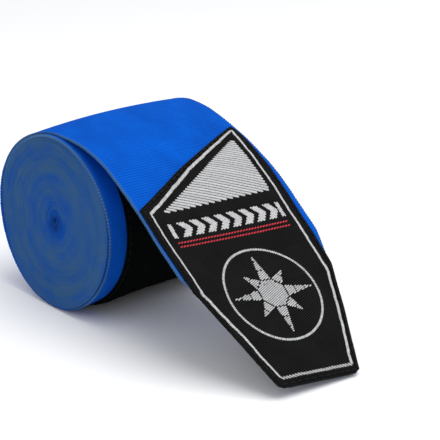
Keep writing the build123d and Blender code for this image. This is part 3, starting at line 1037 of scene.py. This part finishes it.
def make_emblem(silver, level):
    """A compass star in a plain ring, its points woven in bands."""
    centre, radius = np.array([77.7, -0.8]), 14.4
    angles = np.linspace(0, 2 * math.pi, 91)[:-1]
    circle = [tuple(centre + radius * np.array([math.cos(a), math.sin(a)])) for a in angles]
    satin_line(silver, circle, level, width=0.72, pitch=0.4, slant=0.5, waver=0.03)
    long, short, notch = 13.4, 9.6, 4.7
    spots = []  # the star's tips, with a notch between each two
    for k in range(16):
        reach = (long, notch, short, notch)[k % 4]
        angle = 2 * math.pi * k / 16
        spots.append(centre + reach * np.array([math.cos(angle), math.sin(angle)]))
    for k in range(0, 16, 2):
        left, tip, right = spots[k - 1], spots[k], spots[k + 1]
        parts = []
        cuts = [0.0, 0.34, 0.68, 1.0] if k % 4 == 0 else [0.0, 0.5, 1.0]
        for begin, end in zip(cuts[:-1], cuts[1:]):
            corners = [(left, begin), (right, begin), (right, end), (left, end)]
            parts.append([corner + (tip - corner) * share for corner, share in corners])
        for number, part in enumerate(parts):
            part = np.array(part)
            part = part + 0.07 * (part.mean(axis=0) - part)  # leaves a dark seam between two bands
            brightness = 0.32 if number % 2 else 0.44
            split_fill(silver, [tuple(p) for p in part], level, brightness=brightness, **EMBLEM_THREADS)
    heart = [tuple(centre + 0.95 * (spot - centre)) for spot in spots[1::2]]
    split_fill(silver, heart, level, brightness=0.36, **EMBLEM_THREADS)


def make_label_threads():
    """The woven pattern: border, satin corner field, chevron row, twin lines and ring emblem."""
    silver = Threads("label_silver_threads", SILVER, "label_weave", label_relief)
    level = LABEL_HIGH + 0.02
    make_border(silver, level)
    corner = [(47.0, -19.8), (26.3, 18.8), (46.7, 18.0)]
    satin_fill(silver, corner, level, **CORNER_THREADS)
    make_chevrons(silver, level)
    make_emblem(silver, level)
    silver.finish({})
    red = Threads("label_red_threads", RED, "label_weave", label_relief)
    pitch, length, width, rise, lean = 0.98, 0.9, 0.42, 0.13, 0.2
    for s in (57.1, 58.45):
        for v in np.arange(-19.9, 17.0, pitch):
            tone = 0.25 + 0.3 * random.random()
            red.add((s + lean, v), (s - lean, v + length), width, rise, level, tone)
    red.finish({})


def make_label_stitches():
    replaced = {
        1: ["label_stitching_upper", "label_stitching_middle"],
        2: ["label_stitching_lower"],
        3: ["label_stitching_tip"],
    }
    stitch_round("label_stitches", LABEL_OUTLINE, 0.17, LABEL_HIGH + 0.12, replaced)


make_label()
make_label_threads()
make_label_stitches()


# -------- hook panel


def make_hook_panel():
    sew_on(
        "hook_tape",
        HOOK_OUTLINE,
        lead=0.02,
        slot_name="hook_tape",
        replaced={2: ["hook_panel_middle", "hook_panel_lower"], 3: ["hook_panel_tip"]},
        low=HOOK_LOW,
        high=-SEWN_LEVEL,
        step=0.5,
        material=HOOK_TAPE,
    )


def make_hooks():
    """Rows of small moulded hooks on the hook tape, and the stitches round it."""
    hooks = Threads("hook_field", HOOK_PLASTIC, "hook_tape")
    pitch = 1.25
    field = inset_outline(HOOK_OUTLINE, 2.2)
    cosine, sine = ring(5)
    bend = np.array([0.0, 0.5, 0.85, 1.0, 0.82])
    lean = np.array([0.0, 0.02, 0.12, 0.3, 0.46])
    size = np.array([1.25, 1.0, 0.95, 0.8, 0.5])
    for row, s in enumerate(np.arange(field[0][0], field[3][0], pitch)):
        near, far = outline_span(field, np.array([s]))
        side = 1 if row % 2 else -1
        for v in np.arange(near[0] + 0.3, far[0] - 0.3, pitch) + 0.25 * pitch * side:
            if nearest_side(field, s, v)[0] < 0.1:
                continue
            along = s + side * lean[:, None] + 0.11 * size[:, None] * cosine
            across = v + 0.15 * size[:, None] * sine
            height = HOOK_LOW + 0.05 - HOOK_HEIGHT * bend[:, None] + 0 * along
            hooks.at(s).tube(strip_point(along, across, height))
    hooks.finish({})
    replaced = {2: ["hook_stitching_middle", "hook_stitching_lower"], 3: ["hook_stitching_tip"]}
    stitch_round("hook_stitches", HOOK_OUTLINE, 0.16, HOOK_LOW + 0.1, replaced)


make_hook_panel()
make_hooks()


# -------- pile panel on the roll


def panel_point(winding, y, h):
    """A point on the roll, kept above the surface that the roll rests on."""
    points = strip_point(-arc_at(winding), y, h)
    points[..., 2] = np.maximum(points[..., 2], 0)
    return points


def make_pile_panel():
    """Backing with a bare border and a field of fuzzy pile."""
    builder = Builder()
    begin, end = (math.radians(a) for a in LOOP_ANGLES)
    rows = 260
    winding = np.linspace(begin, end, rows)
    half = LOOP_WIDTH / 2
    across, height, _ = strip_section(np.full(rows, -half), np.full(rows, half), 101)
    total = (end - begin) * ROLL_RADIUS
    length = (winding - begin)[:, None] * ROLL_RADIUS + 0 * across
    edge = np.minimum(np.minimum(length, total - length), half - np.abs(across))
    pile = smooth(edge, LOOP_MARGIN - 0.9, LOOP_MARGIN + 0.4) * LOOP_PILE
    fuzz = 0.14 * ripple2(length / 0.9, across / 0.9, 21)
    fuzz = fuzz + 0.12 * ripple2(length / 0.4, across / 0.42, 22)
    tufts = np.where(height > 0, pile * (1 + fuzz) + 0.04 * fuzz, 0)
    h = SEWN_LEVEL + (height + 1) / 2 * LOOP_BACKING + tufts
    builder.tube(panel_point(winding[:, None], across, h), np.stack([length, across], -1))
    piece = builder.build("loop_panel_pile", PILE)
    lay_on_roll(piece, "loop_panel")


def roll_thread(builder, begin, end, level, tone):
    """A stitch on the roll between two (winding, across) points."""
    rise = 0.14
    begin, end = np.asarray(begin, float), np.asarray(end, float)
    direction, length = unit((end - begin) * np.array([ROLL_RADIUS, 1.0]))
    normal = left_of(direction)
    t = np.array([0, 0.08, 0.2, 0.5, 0.8, 0.92, 1.0])
    size = np.array([0.12, 0.65, 1, 1, 1, 0.65, 0.12])
    cosine, sine = ring(8)
    offset = cosine * size[:, None] * STITCH_WIDTH / 2
    h = level + sine * size[:, None] * rise
    winding = begin[0] + t[:, None] * (end[0] - begin[0]) + offset * normal[0] / ROLL_RADIUS
    across = begin[1] + t[:, None] * (end[1] - begin[1]) + offset * normal[1]
    builder.tube(panel_point(winding, across, h), pattern_grid(t * length, offset), np.full(h.shape, tone))


def make_pile_stitches():
    """Stitches along the pile panel's sides and across its ends."""
    builder = Builder()
    begin, end = (math.radians(a) for a in LOOP_ANGLES)
    inset = 1.1
    level = SEWN_LEVEL + LOOP_BACKING
    count = 34
    step = (end - begin - 2 * inset / ROLL_RADIUS) / count
    for side in (-1, 1):
        for index in range(count):
            start = begin + inset / ROLL_RADIUS + (index + 0.1) * step
            y = side * (LOOP_WIDTH / 2 - inset) + random.normal(0, 0.04)
            # Painted shade: the low tone makes these stitches much darker than the same thread on the
            # label, to take out the light they catch.
            tone = -0.4 + 0.3 * random.random()
            roll_thread(builder, (start, y), (start + STITCH_SHARE * step, y), level, tone)
    rows = 15
    size = (LOOP_WIDTH - 2 * inset) / rows
    for winding in (begin + inset / ROLL_RADIUS, end - inset / ROLL_RADIUS):
        for index in range(rows):
            y = -LOOP_WIDTH / 2 + inset + (index + 0.1) * size
            # Painted shade: the same low tone darkens these stitches against the light they catch.
            tone = -0.4 + 0.3 * random.random()
            roll_thread(builder, (winding, y), (winding, y + STITCH_SHARE * size), level, tone)
    piece = builder.build("loop_panel_stitches", BLACK_THREAD)
    lay_on_roll(piece, "loop_panel_stitching")


make_pile_panel()
make_pile_stitches()


# -------- thumb loop in the core


def core_point(angle, radius, y):
    """Place of a point in the core, in metres: angle from the top, distance from the axis, and across."""
    turned = angle + math.pi / 2
    x, z = radius * np.cos(turned), AXIS_HEIGHT + radius * np.sin(turned)
    return np.stack([x, y + 0 * radius, z], -1) * MM


def make_thumb_loop():
    """Two layers of narrow tape rolled up in the core; the fold at the free end is not modelled."""
    turns, outer, pitch, layer, length = 3.5, 3.28, 0.7, 0.29, 94.0
    half, rows = 8.0, 150
    angle = np.linspace(0, 2 * math.pi * turns, rows)
    radius = outer - pitch * angle / (2 * math.pi)
    across, height, tone = strip_section(np.full(rows, -half), np.full(rows, half), 9)
    builder = Builder()
    for offset in (0.16, -0.16):
        grid = core_point(angle[:, None], radius[:, None] + offset + height * layer / 2, across)
        builder.tube(grid, pattern_grid(angle * 2.4, across), tone)
    piece = builder.build("thumb_loop_tape", TAPE_BLUE)
    lay_on_roll(piece, "thumb_loop")


def make_bartacks():
    """Dense bars of zigzag thread where the loop is sewn to the strip."""
    builder = Builder()
    cosine, sine = ring(8)
    angle = np.radians(np.array([100, 101, 104, 112, 120, 123, 124.0]))
    size = np.array([0.15, 0.7, 1, 1, 1, 0.7, 0.15])
    for bar in (-5.5, 0.0, 5.5):
        for line in np.linspace(-0.6, 0.6, 7):
            y = bar + line + 0.1 * cosine * size[:, None]
            radius = 3.72 + 0.1 * sine * size[:, None]
            winding = (angle - math.pi / 2)[:, None] + 0 * radius
            builder.tube(core_point(winding, radius, y), tones=np.full(radius.shape, 0.5))
    piece = builder.build("thumb_loop_bartacks", BLACK_THREAD)
    lay_on_roll(piece, "thumb_loop_bartack")


make_thumb_loop()
make_bartacks()
